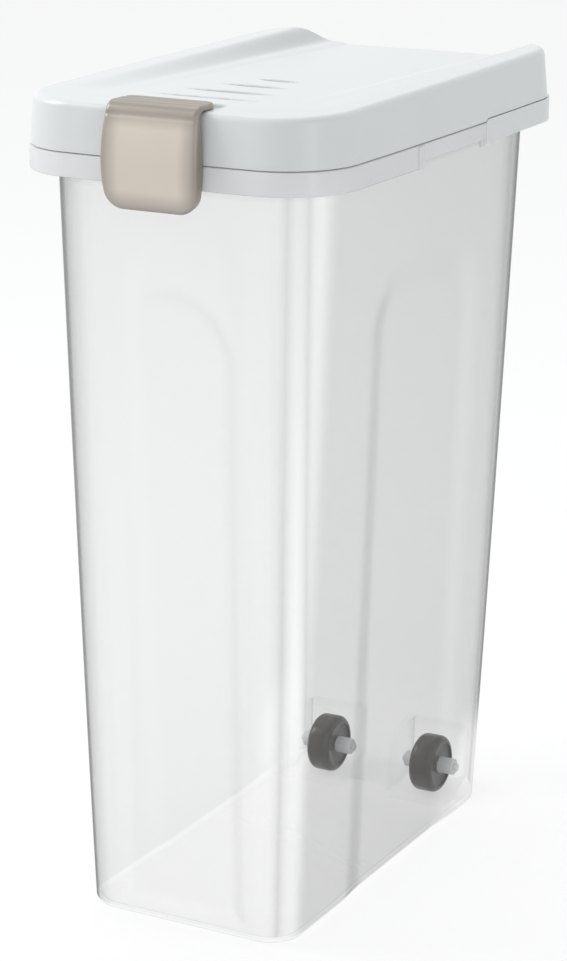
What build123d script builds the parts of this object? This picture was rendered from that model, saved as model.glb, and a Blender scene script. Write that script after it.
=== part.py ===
"""Pet food storage bin: a tall tapered tub with a hinged lid, a front latch and two rear wheels.

The origin is on the floor, in the middle of the bin's width, below the centre of the mouth.
X runs across the width, the front with the latch faces -Y, and Z points up.
All sizes are in millimetres.
"""

import os
from math import atan, cos, radians, sin, tan

from build123d import *

# Tub: a thin tapered shell, narrower at the floor than at the mouth
seam_height = 560.0
tub_top = 568.0
tub_wall = 2.4
tub_floor = 3.0
base_width = 168.6
base_length = 331.0
base_centre_y = -11.6
mouth_width = 213.0
mouth_length = 379.5
tub_corner = 38.0
base_edge_radius = 5.0

# Where the flat bands of a rounded edge meet, in degrees round its quarter circle
rounding_angles = (0, 30, 60, 90)

# Recessed panels pressed into the front and the two long sides
panel_depth = 2.0
panel_edge_run = 4.0
panel_stand_off = 1.0
front_panel_bottom = 9.0
side_panel_bottom = -20.0
front_panel_half_width = 52.0
front_panel_arch_height = 420.0
side_panel_front_y = -88.0
side_panel_rear_y = 93.0
side_panel_top = 474.0
side_panel_corner = 48.0

# Underside: it rises towards the rear edge so that the bin can tilt back on its wheels
kick_start_y = 128.0
kick_slope = 0.42

# Wheels, their axles and the wells that they sit in
wheel_diameter = 46.0
wheel_width = 20.0
wheel_shoulder = 4.0
wheel_offset_x = 46.0
wheel_centre_y = 137.0
wheel_centre_z = 24.0
hub_radius = 6.5
hub_half_length = 21.0
axle_radius = 3.0
axle_end_gap = 0.3
axle_running_clearance = 0.06
well_half_width = 24.0
well_gap = 6.0
well_pad_thickness = 2.5
well_pad_radius = 7.5
well_pad_height = 28.0
axle_snap_width = 5.2
axle_snap_depth = 20.0

# Rim: a flange around the mouth with a turned-down band, stepped in where the collar sits
rim_width = 250.3
rim_length = 405.0
rim_corner = 50.0
rim_bow = 2.8
rim_wall = 2.5
rim_top = 559.4
rim_flange_thickness = 2.5
rim_bottom = 543.0

# Hand grips: a shorter stretch of the band on each long side, with a rib at each end
grip_front_y = -54.0
grip_rear_y = 44.0
grip_bottom = 548.0
grip_front_rib = 9.0
grip_rear_rib = 5.0
grip_front_rib_stand_out = 0.6
grip_rear_rib_stand_out = -0.4
rib_top_gap = 0.6
rib_bite = 0.1

# Rear collar: the opaque hinge frame that clips round the back of the rim
collar_front_y = 47.4
collar_wall = 2.2
collar_top = 561.4
collar_bottom = 544.5
collar_lip_reach = 7.0
collar_hook_reach = 4.1
collar_hook_thickness = 1.8
collar_fit = 0.2
collar_seat_gap = 0.3
collar_joint_gap = 0.4
collar_step = 3.5
collar_slant = 2.7
collar_ear_bite = 2.0

# Lid hinge, behind the collar
hinge_y = 210.0
hinge_z = 556.0
hinge_pin_radius = 2.5
hinge_clearance = 0.06
hinge_barrel_radius = 5.5
hinge_inner_x = 38.0
hinge_ear_thickness = 5.0
hinge_knuckle_length = 19.2
hinge_side_gap = 0.4
hinge_pin_stand_out = 1.0
hinge_stop_radius = 7.0
lid_open_angle = 110.0
press_allowance = 0.02

# Lid: a skirt, a deck with two raised side rails, and a ring that holds the seal
lid_width = 249.6
lid_length = 404.0
lid_corner = 50.0
lid_wall = 2.5
lid_draft = 5.0
lid_highest = 605.0
lid_rear_skirt_bottom = 562.1
lid_edge_radius = 6.0
crest_height = 596.3
crest_slope = 0.009
deck_front_height = 594.7
deck_slope = 0.023
trough_half_width = 64.0
rail_crest_x = 108.0
rail_lip = 0.4
flank_foot_x = 74.0
flank_foot_share = 0.1
flank_shoulder_x = 100.0
flank_shoulder_share = 0.8
trough_start_y = -150.0
trough_end_y = 230.0
groove_pitch = 33.5
groove_first_y = -135.0
groove_half_lengths = (46.0, 38.0, 28.0, 18.0)
groove_width = 10.0
groove_depth = 1.2
latch_pocket_y = -174.5
latch_pocket_length = 72.0
latch_pocket_width = 20.0
latch_pocket_depth = 1.7

# Hinge arms behind the lid
arm_root_inset = 2.9
arm_root_height = 16.0
arm_skirt_gap = 0.2
arm_shoulder_height = 9.0
arm_shoulder_inset = 1.2
arm_rim_gap = 1.6
tooth_root_offset = 2.0
tooth_heel_inset = 1.5
tooth_heel_drop = 1.0

# Seal and the channel under the lid that carries it
seal_width = 4.9
seal_height = 4.0
seal_gap = 0.35
seal_fit = 0.05
channel_gap = 5.0
channel_wall = 2.0
channel_leg = 6.0

# Front latch, on a pin below the rim
latch_width = 74.0
latch_wall = 3.0
latch_edge_wall = 2.6
latch_pivot_y = -204.0
latch_pivot_z = 537.0
latch_pin_radius = 2.0
latch_pin_half_length = 30.0
latch_clearance = 0.06
latch_barrel_radius = 3.8
latch_side_gap = 0.3
latch_outer_y = -212.5
latch_bottom_z = 526.5
latch_lip_top = 598.6
latch_lip_rear_y = -177.5
latch_lip_flat = 19.0
latch_lip_corner = 11.0
latch_ridge_inset = 8.0
latch_ridge_drop = 2.3
latch_crease_inset = 4.8
latch_crease_drop = 8.4
latch_crease_overlap = 0.6
latch_lip_narrowing = 2.0
latch_bulge_height = 18.0
latch_tail_inset = 3.2
latch_tail_spare = 2.0
latch_plate_corner = 12.0
latch_flange_inner_y = -203.1
latch_widest_height = 22.0
latch_top_narrowing = 1.5
latch_tail_narrowing = 3.5
lip_groove_ys = (-185.5, -192.5)
lip_groove_width = 1.2
lip_groove_depth = 0.7
catch_length = 48.0
catch_thickness = 2.6
catch_drop = 1.7
catch_setback = 0.5
catch_bite = 1.0
knuckle_root_height = 10.0
knuckle_root_depth = 2.0
knuckle_bite = 0.4
ear_thickness = 4.0
ear_inner_x = 14.0
ear_spacing = 11.0
ear_root_inset = 1.0
ear_root_depth = 2.8
ear_root_height = 7.0

# How far cutting solids run past the part
cut_reach = 600.0
cut_overrun = 5.0


def bowed_outline(width, length, corner, bow):
    """A rounded rectangle whose four sides bulge outwards a little."""
    half_x = width / 2
    half_y = length / 2
    with BuildSketch() as outline:
        with BuildLine():
            ThreePointArc((half_x - bow, -half_y + bow), (half_x, 0), (half_x - bow, half_y - bow))
            ThreePointArc((half_x - bow, half_y - bow), (0, half_y), (-half_x + bow, half_y - bow))
            ThreePointArc((-half_x + bow, half_y - bow), (-half_x, 0), (-half_x + bow, -half_y + bow))
            ThreePointArc((-half_x + bow, -half_y + bow), (0, -half_y), (half_x - bow, -half_y + bow))
        make_face()
        fillet(outline.vertices(), radius=corner)
    return outline.sketch


def plan_half(y, direction):
    """A large rectangle in plan, in front of (-1) or behind (1) a line across the bin."""
    with BuildSketch() as half:
        with Locations((0, y + direction * cut_reach / 2)):
            Rectangle(cut_reach, cut_reach)
    return half.sketch


def edge_bands(radius):
    """A rounded edge as flat bands: how far each line is drawn in, and how far it is from the end."""
    bands = []
    for angle in rounding_angles:
        bands.append((radius * (1 - cos(radians(angle))), radius * (1 - sin(radians(angle)))))
    return bands


def tub_size(height, inset):
    """The tub's width, length and middle at a height above the floor, moved inwards by inset."""
    share = height / seam_height
    width = base_width + (mouth_width - base_width) * share - 2 * inset
    length = base_length + (mouth_length - base_length) * share - 2 * inset
    return width, length, base_centre_y * (1 - share)


def tub_outline(height, inset):
    """The tub's outline at a height above the floor, moved inwards by inset."""
    width, length, centre_y = tub_size(height, inset)
    with BuildSketch() as outline:
        with Locations((0, centre_y)):
            RectangleRounded(width, length, tub_corner - inset)
    return outline.sketch


def tub_form(inset, bottom, top):
    """A solid of the tub's tapered shape between two heights, with a rounded lower edge."""
    low_width, low_length, low_y = tub_size(bottom, inset)
    high_width, high_length, high_y = tub_size(top, inset)
    with BuildPart() as form:
        with BuildSketch(Plane.XZ.offset(-cut_reach / 2)):
            with BuildLine():
                Polyline(
                    (-low_width / 2, bottom),
                    (low_width / 2, bottom),
                    (high_width / 2, top),
                    (-high_width / 2, top),
                    close=True,
                )
            make_face()
        extrude(amount=cut_reach)
        with BuildSketch(Plane.YZ.offset(-cut_reach / 2)):
            with BuildLine():
                Polyline(
                    (low_y - low_length / 2, bottom),
                    (low_y + low_length / 2, bottom),
                    (high_y + high_length / 2, top),
                    (high_y - high_length / 2, top),
                    close=True,
                )
            make_face()
        extrude(amount=cut_reach, mode=Mode.INTERSECT)
        fillet(form.edges().sort_by(SortBy.LENGTH)[-4:], radius=tub_corner - inset)
        fillet(form.faces().sort_by(Axis.Z)[0].edges(), radius=base_edge_radius)
    return form.part


def front_panel_outline(grow):
    """The arch on the front wall, widened by grow."""
    half_width = front_panel_half_width + grow
    bottom = front_panel_bottom - grow
    with BuildSketch() as outline:
        with Locations((0, (bottom + front_panel_arch_height) / 2)):
            Rectangle(2 * half_width, front_panel_arch_height - bottom)
        with Locations((0, front_panel_arch_height)):
            Circle(half_width)
    return outline.sketch


def side_panel_outline(grow):
    """The panel on a long side, widened by grow, with round top corners."""
    length = side_panel_rear_y - side_panel_front_y + 2 * grow
    height = side_panel_top - side_panel_bottom + 2 * grow
    centre = ((side_panel_rear_y + side_panel_front_y) / 2, (side_panel_top + side_panel_bottom) / 2)
    with BuildSketch() as outline:
        with Locations(centre):
            Rectangle(length, height)
        fillet(outline.vertices().group_by(Axis.Y)[-1], radius=side_panel_corner + grow)
    return outline.sketch


def panel_recess(wall, outline, moved_in):
    """A shallow recess with sloping edges on a wall's plane, moved inwards by an amount."""
    with BuildPart() as recess:
        for rise in (panel_stand_off, -panel_depth):
            with BuildSketch(wall.offset(rise - moved_in)):
                add(outline(rise * panel_edge_run))
        loft(ruled=True)
    return recess.part


def panel_recesses(moved_in):
    """The front arch and both side panels."""
    front_lean = atan((mouth_length / 2 - base_length / 2 + base_centre_y) / seam_height)
    side_lean = atan((mouth_width - base_width) / 2 / seam_height)
    front_normal = (0, -cos(front_lean), -sin(front_lean))
    side_normal = (cos(side_lean), 0, -sin(side_lean))
    front_wall = Plane(origin=(0, base_centre_y - base_length / 2, 0), x_dir=(1, 0, 0), z_dir=front_normal)
    right_wall = Plane(origin=(base_width / 2, 0, 0), x_dir=(0, 1, 0), z_dir=side_normal)
    with BuildPart() as recesses:
        add(panel_recess(right_wall, side_panel_outline, moved_in))
        mirror(about=Plane.YZ)
        add(panel_recess(front_wall, front_panel_outline, moved_in))
    return recesses.part


def well_form(grow):
    """The space of both wheel wells: an arch over each wheel, open below and to the rear."""
    arch_radius = wheel_diameter / 2 + well_gap + grow
    front_y = wheel_centre_y - arch_radius
    roof_z = wheel_centre_z + arch_radius
    rear_y = 200
    low_z = -10
    with BuildPart() as wells:
        with BuildSketch(Plane.YZ.offset(wheel_offset_x - well_half_width - grow)):
            with BuildLine():
                Polyline((front_y, wheel_centre_z), (front_y, low_z), (rear_y, low_z), (rear_y, roof_z))
                Line((rear_y, roof_z), (wheel_centre_y, roof_z))
                RadiusArc((wheel_centre_y, roof_z), (front_y, wheel_centre_z), -arch_radius)
            make_face()
        extrude(amount=2 * (well_half_width + grow))
        mirror(about=Plane.YZ)
    return wells.part


def kick_form(raise_by):
    """The wedge under the rear of the floor, raised by raise_by."""
    lead_in = 20
    run = 100
    low_z = -60
    half_width = 150
    with BuildPart() as wedge:
        with BuildSketch(Plane.YZ.offset(-half_width)):
            with BuildLine():
                Polyline(
                    (kick_start_y - lead_in, raise_by - kick_slope * lead_in),
                    (kick_start_y + run, raise_by + kick_slope * run),
                    (kick_start_y + run, low_z),
                    (kick_start_y - lead_in, low_z),
                    close=True,
                )
            make_face()
        extrude(amount=2 * half_width)
    return wedge.part


def tub_cavity():
    """The space inside the tub, with the wells and pressed-in panels left standing as walls."""
    with BuildPart() as cavity:
        add(tub_form(tub_wall, tub_floor, tub_top + 1))
        add(panel_recesses(tub_wall), mode=Mode.SUBTRACT)
        add(well_form(tub_wall), mode=Mode.SUBTRACT)
        add(kick_form(tub_floor), mode=Mode.SUBTRACT)
    return cavity.part


def rim_outline(inset):
    """The rim band's outline, moved inwards by inset."""
    return bowed_outline(rim_width - 2 * inset, rim_length - 2 * inset, rim_corner - inset, rim_bow)


def rim_form():
    """The flange and the turned-down band, with a grip opening on each long side."""
    rear_inset = collar_wall + collar_seat_gap
    rear_bottom = collar_bottom + collar_hook_thickness + collar_seat_gap
    joint_y = collar_front_y - collar_joint_gap
    flange_bottom = rim_top - rim_flange_thickness
    with BuildPart() as rim:
        with BuildSketch(Plane.XY.offset(rim_bottom)):
            add(rim_outline(0))
            add(rim_outline(rim_wall), mode=Mode.SUBTRACT)
            add(plan_half(joint_y, 1), mode=Mode.SUBTRACT)
        extrude(amount=rim_top - rim_bottom)
        with BuildSketch(Plane.XY.offset(rear_bottom)):
            add(rim_outline(rear_inset))
            add(rim_outline(rear_inset + collar_wall), mode=Mode.SUBTRACT)
            add(plan_half(joint_y - rim_wall, -1), mode=Mode.SUBTRACT)
        extrude(amount=rim_top - rear_bottom)
        with BuildSketch(Plane.XY.offset(flange_bottom)):
            add(rim_outline(rim_wall / 2))
            add(plan_half(joint_y, 1), mode=Mode.SUBTRACT)
        extrude(amount=rim_flange_thickness)
        with BuildSketch(Plane.XY.offset(flange_bottom)):
            add(rim_outline(rear_inset))
        extrude(amount=rim_flange_thickness)
        with BuildSketch(Plane.XY.offset(rim_bottom - cut_overrun)):
            with Locations((0, (grip_rear_y + grip_front_y) / 2)):
                Rectangle(cut_reach, grip_rear_y - grip_front_y)
        extrude(amount=grip_bottom - rim_bottom + cut_overrun, mode=Mode.SUBTRACT)
        add(grip_rib(grip_front_y, grip_front_rib, grip_front_rib_stand_out))
        add(grip_rib(grip_rear_y, grip_rear_rib, grip_rear_rib_stand_out))
    return rim.part


def grip_rib(rear_y, length, stand_out):
    """An upright rib on the band of both long sides, ending at rear_y."""
    inner_x = rim_width / 2 - rim_wall + rib_bite
    outer_x = rim_width / 2 + stand_out
    with BuildPart() as rib:
        with BuildSketch(Plane.XY.offset(rim_bottom)):
            with Locations(((inner_x + outer_x) / 2, rear_y - length / 2)):
                Rectangle(outer_x - inner_x, length)
        extrude(amount=rim_top - rim_bottom - rib_top_gap)
        mirror(about=Plane.YZ)
    return rib.part


def latch_ears():
    """Four ears below the rim band that carry the latch pin."""
    root_y = -rim_length / 2 + ear_root_inset + ear_root_depth / 2
    with BuildPart() as ears:
        for inner_x in (ear_inner_x, ear_inner_x + ear_spacing):
            with BuildSketch(Plane.YZ.offset(inner_x)):
                with Locations((latch_pivot_y, latch_pivot_z)):
                    Circle(latch_barrel_radius)
                with Locations((root_y, rim_bottom + ear_root_height / 2)):
                    Rectangle(ear_root_depth, ear_root_height)
                make_hull()
            extrude(amount=ear_thickness)
        mirror(about=Plane.YZ)
        with BuildSketch(Plane.YZ.offset(-latch_width)):
            with Locations((latch_pivot_y, latch_pivot_z)):
                Circle(latch_pin_radius + press_allowance)
        extrude(amount=2 * latch_width, mode=Mode.SUBTRACT)
    return ears.part


def axle_pads():
    """A pad on each cheek of the wells, with a keyhole that the axle snaps into from below."""
    bite = 0.5
    pad_starts = (wheel_offset_x - well_half_width - bite, wheel_offset_x + well_half_width + bite)
    with BuildPart() as pads:
        for start, direction in zip(pad_starts, (1, -1)):
            with BuildSketch(Plane.YZ.offset(start)):
                with Locations((wheel_centre_y, wheel_centre_z)):
                    Circle(well_pad_radius)
                with Locations((wheel_centre_y, wheel_centre_z + well_pad_height / 2)):
                    Rectangle(2 * well_pad_radius, well_pad_height)
                with Locations((wheel_centre_y, wheel_centre_z)):
                    Circle(axle_radius + press_allowance, mode=Mode.SUBTRACT)
                with Locations((wheel_centre_y, wheel_centre_z - axle_snap_depth / 2)):
                    Rectangle(axle_snap_width, axle_snap_depth, mode=Mode.SUBTRACT)
            extrude(amount=direction * (well_pad_thickness + bite))
        mirror(about=Plane.YZ)
    return pads.part


def lid_form(inset, bottom):
    """A solid of the lid's outer shape without its trough, with a rounded upper edge."""
    crest_plane = Plane(origin=(0, 0, crest_height), x_dir=(1, 0, 0), z_dir=(0, -crest_slope, 1))
    lean = tan(radians(lid_draft))
    sections = [(Plane.XY.offset(bottom), bottom - seam_height, 0)]
    for draw_in, drop in edge_bands(lid_edge_radius - inset):
        sections.append((crest_plane.offset(-inset - drop), crest_height - inset - drop - seam_height, draw_in))
    with BuildPart() as form:
        for plane, rise, draw_in in sections:
            drawn_in = inset + rise * lean + draw_in
            with BuildSketch(plane):
                add(
                    bowed_outline(
                        lid_width - 2 * drawn_in,
                        lid_length - 2 * drawn_in,
                        lid_corner - inset - draw_in,
                        rim_bow,
                    )
                )
        loft(ruled=True)
    return form.part


def crest_at(y):
    """The height of the rail line at a distance from the middle."""
    return crest_height + crest_slope * y


def deck_height(y):
    """The height of the trough's floor at a distance from the middle."""
    if y < trough_start_y:
        return crest_at(y)
    return deck_front_height - deck_slope * (y - trough_start_y)


def trough_form(lower_by, widen_by):
    """The wedge-shaped trough between the rails, with flanks in three slopes, open to the rear."""
    sky_z = 640
    with BuildPart() as trough:
        for y in (trough_start_y, trough_end_y):
            floor_z = deck_height(y) - lower_by
            rise = crest_at(y) + rail_lip - deck_height(y)
            right_side = [
                (trough_half_width + widen_by, floor_z),
                (flank_foot_x + widen_by, floor_z + flank_foot_share * rise),
                (flank_shoulder_x + widen_by, floor_z + flank_shoulder_share * rise),
                (rail_crest_x + widen_by, floor_z + rise),
                (rail_crest_x + widen_by, sky_z),
            ]
            left_side = [(-x, z) for x, z in reversed(right_side)]
            with BuildSketch(Plane.XZ.offset(-y)):
                with BuildLine():
                    Polyline(*right_side, *left_side, close=True)
                make_face()
        loft(ruled=True)
    return trough.part


def lid_skin():
    """The lid's outer form, solid."""
    with BuildPart() as skin:
        add(lid_form(0, seam_height))
        add(trough_form(0, 0), mode=Mode.SUBTRACT)
    return skin.part


def lid_hollow():
    """The space under the lid's deck and inside its skirt."""
    flank_room = 1.5
    with BuildPart() as hollow:
        add(lid_form(lid_wall, seam_height - cut_overrun))
        add(trough_form(lid_wall, flank_room), mode=Mode.SUBTRACT)
    return hollow.part


def mouth_ring(outwards, inwards):
    """A flat ring along the tub's top edge, measured from the middle of the tub's wall."""
    with BuildSketch() as ring:
        add(tub_outline(tub_top, tub_wall / 2 - outwards))
        add(tub_outline(tub_top, tub_wall / 2 + inwards), mode=Mode.SUBTRACT)
    return ring.sketch


def seal_channel():
    """A channel open downwards for the seal, with a web up to the deck."""
    half_gap = channel_gap / 2
    edge = half_gap + channel_wall
    seal_top = tub_top + seal_gap + seal_height
    with BuildPart() as channel:
        with BuildSketch(Plane.XY.offset(seal_top)):
            add(mouth_ring(edge, edge))
        extrude(amount=channel_wall)
        with BuildSketch(Plane.XY.offset(seal_top - channel_leg)):
            add(mouth_ring(edge, -half_gap))
            add(mouth_ring(-half_gap, edge))
        extrude(amount=channel_leg)
        with BuildSketch(Plane.XY.offset(seal_top + channel_wall / 2)):
            add(mouth_ring(channel_wall / 2, channel_wall / 2))
        extrude(amount=lid_highest - seal_top)
        add(lid_skin(), mode=Mode.INTERSECT)
    return channel.part


def finger_grooves():
    """The four shallow grooves on the deck and the pocket under the latch's lip."""
    clear_height = 8
    with BuildPart() as grooves:
        for step, half_length in enumerate(groove_half_lengths):
            groove_y = groove_first_y + step * groove_pitch
            with BuildSketch(Plane.XY.offset(deck_height(groove_y) - groove_depth)):
                with Locations((0, groove_y)):
                    SlotOverall(2 * half_length, groove_width)
            extrude(amount=groove_depth + clear_height)
        with BuildSketch(Plane.XY.offset(deck_height(latch_pocket_y) - latch_pocket_depth)):
            with Locations((0, latch_pocket_y)):
                SlotOverall(latch_pocket_length, latch_pocket_width)
        extrude(amount=latch_pocket_depth + clear_height)
    return grooves.part


def hinge_arms():
    """Two arms behind the lid: a knuckle on the pin, a web up to the skirt, and a stop tooth."""
    stop_angle = radians(lid_open_angle - 180)
    tooth = (hinge_y + hinge_stop_radius * cos(stop_angle), hinge_z + hinge_stop_radius * sin(stop_angle))
    root_y = lid_length / 2 - arm_root_inset
    root_z = lid_rear_skirt_bottom + arm_skirt_gap
    barrel_rear_y = hinge_y + hinge_barrel_radius
    with BuildPart() as arms:
        with BuildSketch(Plane.YZ.offset(hinge_inner_x + hinge_ear_thickness + hinge_side_gap)):
            with Locations((hinge_y, hinge_z)):
                Circle(hinge_barrel_radius)
            with BuildLine():
                Polyline(
                    (root_y, lid_rear_skirt_bottom + arm_root_height),
                    (root_y, root_z),
                    (rim_length / 2 + arm_rim_gap, root_z),
                    (hinge_y - hinge_barrel_radius, hinge_z),
                    (barrel_rear_y, hinge_z),
                    (barrel_rear_y - arm_shoulder_inset, hinge_z + arm_shoulder_height),
                    close=True,
                )
            make_face()
            with BuildLine():
                Polyline(
                    tooth,
                    (hinge_y + tooth_root_offset, hinge_z - hinge_barrel_radius + tooth_root_offset),
                    (barrel_rear_y - tooth_heel_inset, hinge_z - tooth_heel_drop),
                    close=True,
                )
            make_face()
        extrude(amount=hinge_knuckle_length)
        mirror(about=Plane.YZ)
    return arms.part


def latch_profile(move):
    """The space behind the latch's outer surface, moved inwards and down by an amount."""
    top_z = latch_lip_top - move
    outer_y = latch_outer_y + move
    lip_rear = (latch_lip_rear_y + move, top_z)
    lip_front = (latch_lip_rear_y - latch_lip_flat + move, top_z)
    ridge = (outer_y + latch_ridge_inset, top_z - latch_ridge_drop)
    crease = (outer_y + latch_crease_inset, top_z - latch_crease_drop)
    bulge = (outer_y, latch_pivot_z + latch_bulge_height - move)
    lower_end = (outer_y + latch_tail_inset, latch_bottom_z - latch_tail_spare - move)
    with BuildSketch() as profile:
        with BuildLine():
            Line(lip_rear, lip_front)
            ThreePointArc(lip_front, ridge, crease)
            ThreePointArc(crease, bulge, lower_end)
            Polyline(lower_end, (lip_rear[0], lower_end[1]), lip_rear)
        make_face()
    return profile.sketch


def latch_face(inset):
    """The latch seen from the front: bowed sides and large lower corners."""
    half_width = latch_width / 2 - inset
    bottom_x = half_width - latch_tail_narrowing
    top_x = half_width - latch_top_narrowing
    bottom_z = latch_bottom_z + inset
    top_z = latch_lip_top + cut_overrun
    widest_z = latch_pivot_z + latch_widest_height
    with BuildSketch() as face:
        with BuildLine():
            ThreePointArc((bottom_x, bottom_z), (half_width, widest_z), (top_x, top_z))
            Line((top_x, top_z), (-top_x, top_z))
            ThreePointArc((-top_x, top_z), (-half_width, widest_z), (-bottom_x, bottom_z))
            Line((-bottom_x, bottom_z), (bottom_x, bottom_z))
        make_face()
        fillet(face.vertices().group_by(Axis.Y)[0], radius=latch_plate_corner - inset)
    return face.sketch


def latch_blank(move, inset):
    """A solid behind the latch's outer surface, trimmed to its front outline."""
    front_plane_y = 150
    with BuildPart() as blank:
        with BuildSketch(Plane.YZ.offset(-latch_width)):
            add(latch_profile(move))
        extrude(amount=2 * latch_width)
        with BuildSketch(Plane.XZ.offset(front_plane_y)):
            add(latch_face(inset))
        extrude(amount=front_plane_y + latch_outer_y + latch_width * 2, mode=Mode.INTERSECT)
    return blank.part


def latch_lip_plan():
    """The latch seen from above: the lip is a little narrower and has round rear corners."""
    lip_length = 12
    low_z = 500
    with BuildPart() as plan:
        with BuildSketch(Plane.XY.offset(low_z)) as top_view:
            with Locations((0, latch_lip_rear_y - lip_length - latch_width / 2)):
                Rectangle(2 * latch_width, latch_width)
            with Locations((0, latch_lip_rear_y - lip_length / 2)):
                Rectangle(latch_width - latch_lip_narrowing, lip_length)
            fillet(top_view.vertices().group_by(Axis.Y)[-1], radius=latch_lip_corner)
        extrude(amount=2 * latch_width)
    return plan.part


def latch_inside():
    """The space behind the plate and below the lip."""
    crease_z = latch_lip_top - latch_crease_drop - latch_crease_overlap
    with BuildPart() as inside:
        with BuildSketch(Plane.YZ.offset(-latch_width)):
            add(latch_profile(latch_wall))
            with Locations((latch_outer_y, crease_z - latch_width)):
                Rectangle(2 * latch_width, 2 * latch_width, mode=Mode.SUBTRACT)
        extrude(amount=2 * latch_width)
        with BuildSketch(Plane.YZ.offset(-latch_width)):
            with Locations((latch_flange_inner_y + latch_width / 2, crease_z - latch_width)):
                Rectangle(latch_width, 2 * latch_width)
        extrude(amount=2 * latch_width)
        add(latch_blank(latch_wall, latch_edge_wall))
    return inside.part


def latch_knuckles():
    """Two knuckles behind the plate that turn on the pin."""
    inner_x = ear_inner_x + ear_thickness + latch_side_gap
    root_y = latch_outer_y + latch_wall - knuckle_bite
    with BuildPart() as knuckles:
        with BuildSketch(Plane.YZ.offset(inner_x)):
            with Locations((latch_pivot_y, latch_pivot_z)):
                Circle(latch_barrel_radius)
            with Locations((root_y, latch_pivot_z)):
                Rectangle(knuckle_root_depth, knuckle_root_height)
            make_hull()
        extrude(amount=ear_spacing - ear_thickness - 2 * latch_side_gap)
        mirror(about=Plane.YZ)
    return knuckles.part


def round_pin(centre_y, centre_z, radius, start_x, length):
    """A plain round pin along X."""
    with BuildPart() as pin:
        with BuildSketch(Plane.YZ.offset(start_x)):
            with Locations((centre_y, centre_z)):
                Circle(radius)
        extrude(amount=length)
    return pin.part


os.makedirs("parts", exist_ok=True)

# The translucent tub: tapered shell, rim, latch ears, wheel wells and axle pads
with BuildPart() as bin_tub:
    add(tub_form(0, 0, tub_top))
    add(panel_recesses(0), mode=Mode.SUBTRACT)
    add(rim_form())
    add(latch_ears())
    add(kick_form(0), mode=Mode.SUBTRACT)
    add(well_form(0), mode=Mode.SUBTRACT)
    add(tub_cavity(), mode=Mode.SUBTRACT)
    add(axle_pads())
bin_tub.part.label = "bin_tub"
export_step(bin_tub.part, "parts/bin_tub.step")

# The hinge frame: a channel section round the back of the rim, with four hinge ears
with BuildPart() as rear_collar:
    with BuildSketch(Plane.XY.offset(collar_bottom)):
        add(rim_outline(0))
        add(rim_outline(collar_wall), mode=Mode.SUBTRACT)
    extrude(amount=collar_top - collar_bottom)
    with BuildSketch(Plane.XY.offset(rim_top + collar_fit)):
        add(rim_outline(collar_wall / 2))
        add(rim_outline(collar_lip_reach), mode=Mode.SUBTRACT)
    extrude(amount=collar_top - rim_top - collar_fit)
    with BuildSketch(Plane.XY.offset(collar_bottom)):
        add(rim_outline(collar_wall / 2))
        add(rim_outline(collar_hook_reach), mode=Mode.SUBTRACT)
    extrude(amount=collar_hook_thickness)
    with BuildSketch(Plane.XY.offset(collar_bottom - cut_overrun)):
        add(plan_half(collar_front_y, -1))
    extrude(amount=collar_top - collar_bottom + 2 * cut_overrun, mode=Mode.SUBTRACT)
    with BuildSketch(Plane.YZ.offset(-rim_width)):
        with BuildLine():
            Polyline(
                (collar_front_y - 1, collar_top - collar_slant),
                (collar_front_y + collar_step, collar_top),
                (collar_front_y + collar_step, collar_top + cut_overrun),
                (collar_front_y - 1, collar_top + cut_overrun),
                close=True,
            )
        make_face()
    extrude(amount=2 * rim_width, mode=Mode.SUBTRACT)
    ear_pitch = hinge_ear_thickness + hinge_knuckle_length + 2 * hinge_side_gap
    for inner_x in (hinge_inner_x, hinge_inner_x + ear_pitch):
        for start_x in (inner_x, -inner_x - hinge_ear_thickness):
            with BuildSketch(Plane.YZ.offset(start_x)):
                with Locations((hinge_y, hinge_z)):
                    Circle(hinge_barrel_radius)
                with Locations(((rim_length - collar_wall) / 2, (collar_bottom + collar_top) / 2)):
                    Rectangle(collar_ear_bite, collar_top - collar_bottom)
                make_hull()
            extrude(amount=hinge_ear_thickness)
    with BuildSketch(Plane.YZ.offset(-rim_width)):
        with Locations((hinge_y, hinge_z)):
            Circle(hinge_pin_radius + press_allowance)
    extrude(amount=2 * rim_width, mode=Mode.SUBTRACT)
rear_collar.part.label = "rear_collar"
export_step(rear_collar.part, "parts/rear_collar.step")

# The lid: skirt, deck with rails and trough, finger grooves, seal channel and hinge arms
with BuildPart() as lid:
    add(lid_skin())
    add(lid_hollow(), mode=Mode.SUBTRACT)
    add(seal_channel())
    with BuildSketch(Plane.YZ.offset(-lid_width)):
        with BuildLine():
            Polyline(
                (collar_front_y - collar_fit, seam_height - cut_overrun),
                (collar_front_y - collar_fit, seam_height),
                (collar_front_y + collar_step, lid_rear_skirt_bottom),
                (lid_length, lid_rear_skirt_bottom),
                (lid_length, seam_height - cut_overrun),
                close=True,
            )
        make_face()
    extrude(amount=2 * lid_width, mode=Mode.SUBTRACT)
    add(finger_grooves(), mode=Mode.SUBTRACT)
    add(hinge_arms())
    with BuildSketch(Plane.YZ.offset(-lid_width)):
        with Locations((hinge_y, hinge_z)):
            Circle(hinge_pin_radius + hinge_clearance)
    extrude(amount=2 * lid_width, mode=Mode.SUBTRACT)
lid.part.label = "lid"
export_step(lid.part, "parts/lid.step")

# The soft ring in the channel under the lid
with BuildPart() as lid_seal:
    with BuildSketch(Plane.XY.offset(tub_top + seal_gap)):
        add(mouth_ring(seal_width / 2, seal_width / 2))
    extrude(amount=seal_height - seal_fit)
lid_seal.part.label = "lid_seal"
export_step(lid_seal.part, "parts/lid_seal.step")

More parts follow.
